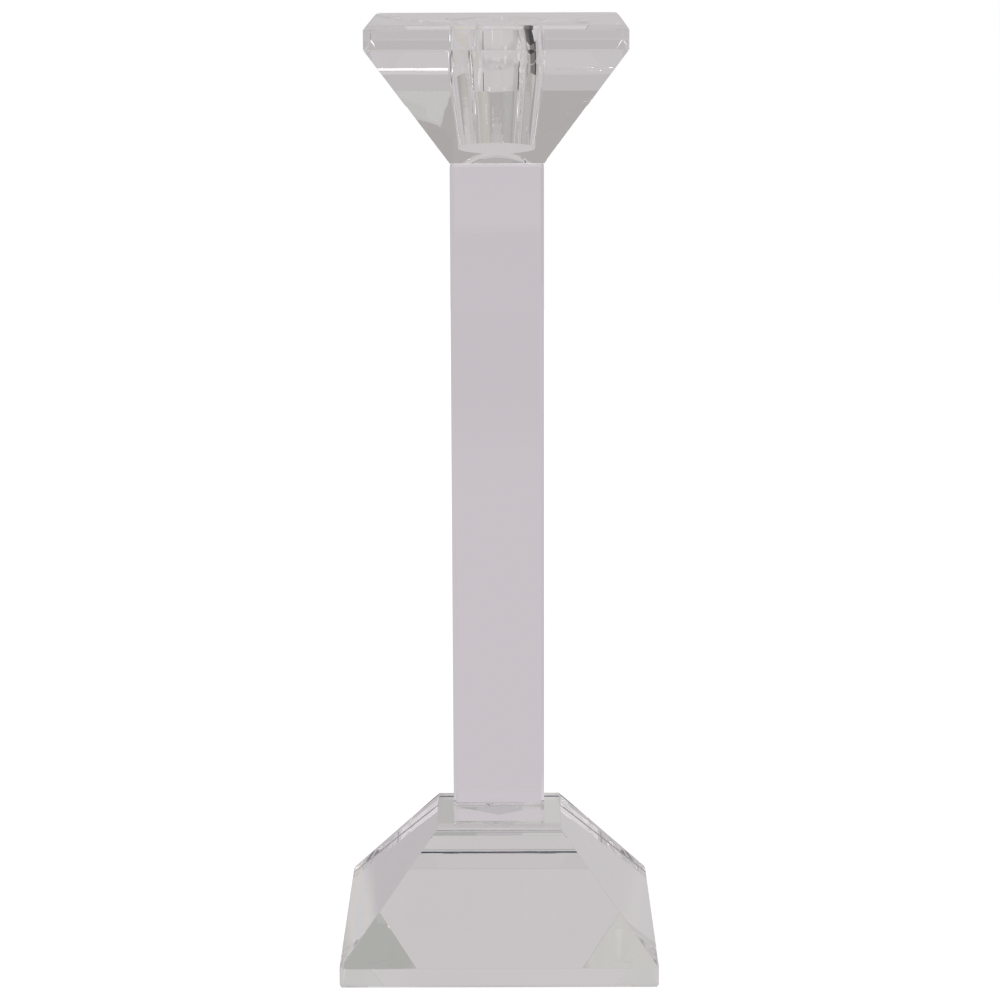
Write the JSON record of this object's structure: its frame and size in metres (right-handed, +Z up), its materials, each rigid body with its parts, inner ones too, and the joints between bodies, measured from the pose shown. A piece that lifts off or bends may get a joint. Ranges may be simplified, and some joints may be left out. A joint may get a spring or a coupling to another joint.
{
  "type": "glass candlestick",
  "caption": "Tall clear crystal candlestick: square pyramid foot, square column and a flared square cup with a blind, tapering socket for a dinner candle.",
  "frame": {"origin": "centre of the foot's underside, on the surface the candlestick stands on", "axes": "+Z up along the column and the candle socket, +X to the right across one flat side, +Y away from the viewer; the four sides are alike"},
  "size_m": [0.084, 0.084, 0.25],
  "materials": {
    "crystal": "clear optical crystal, cut and polished to a gloss",
    "adhesive": "clear cured adhesive film"
  },
  "bodies": {
    "root": {"base": "crystal", "column": "crystal", "cup": "crystal", "lower_bond": "adhesive", "upper_bond": "adhesive"}
  },
  "joints": []
}
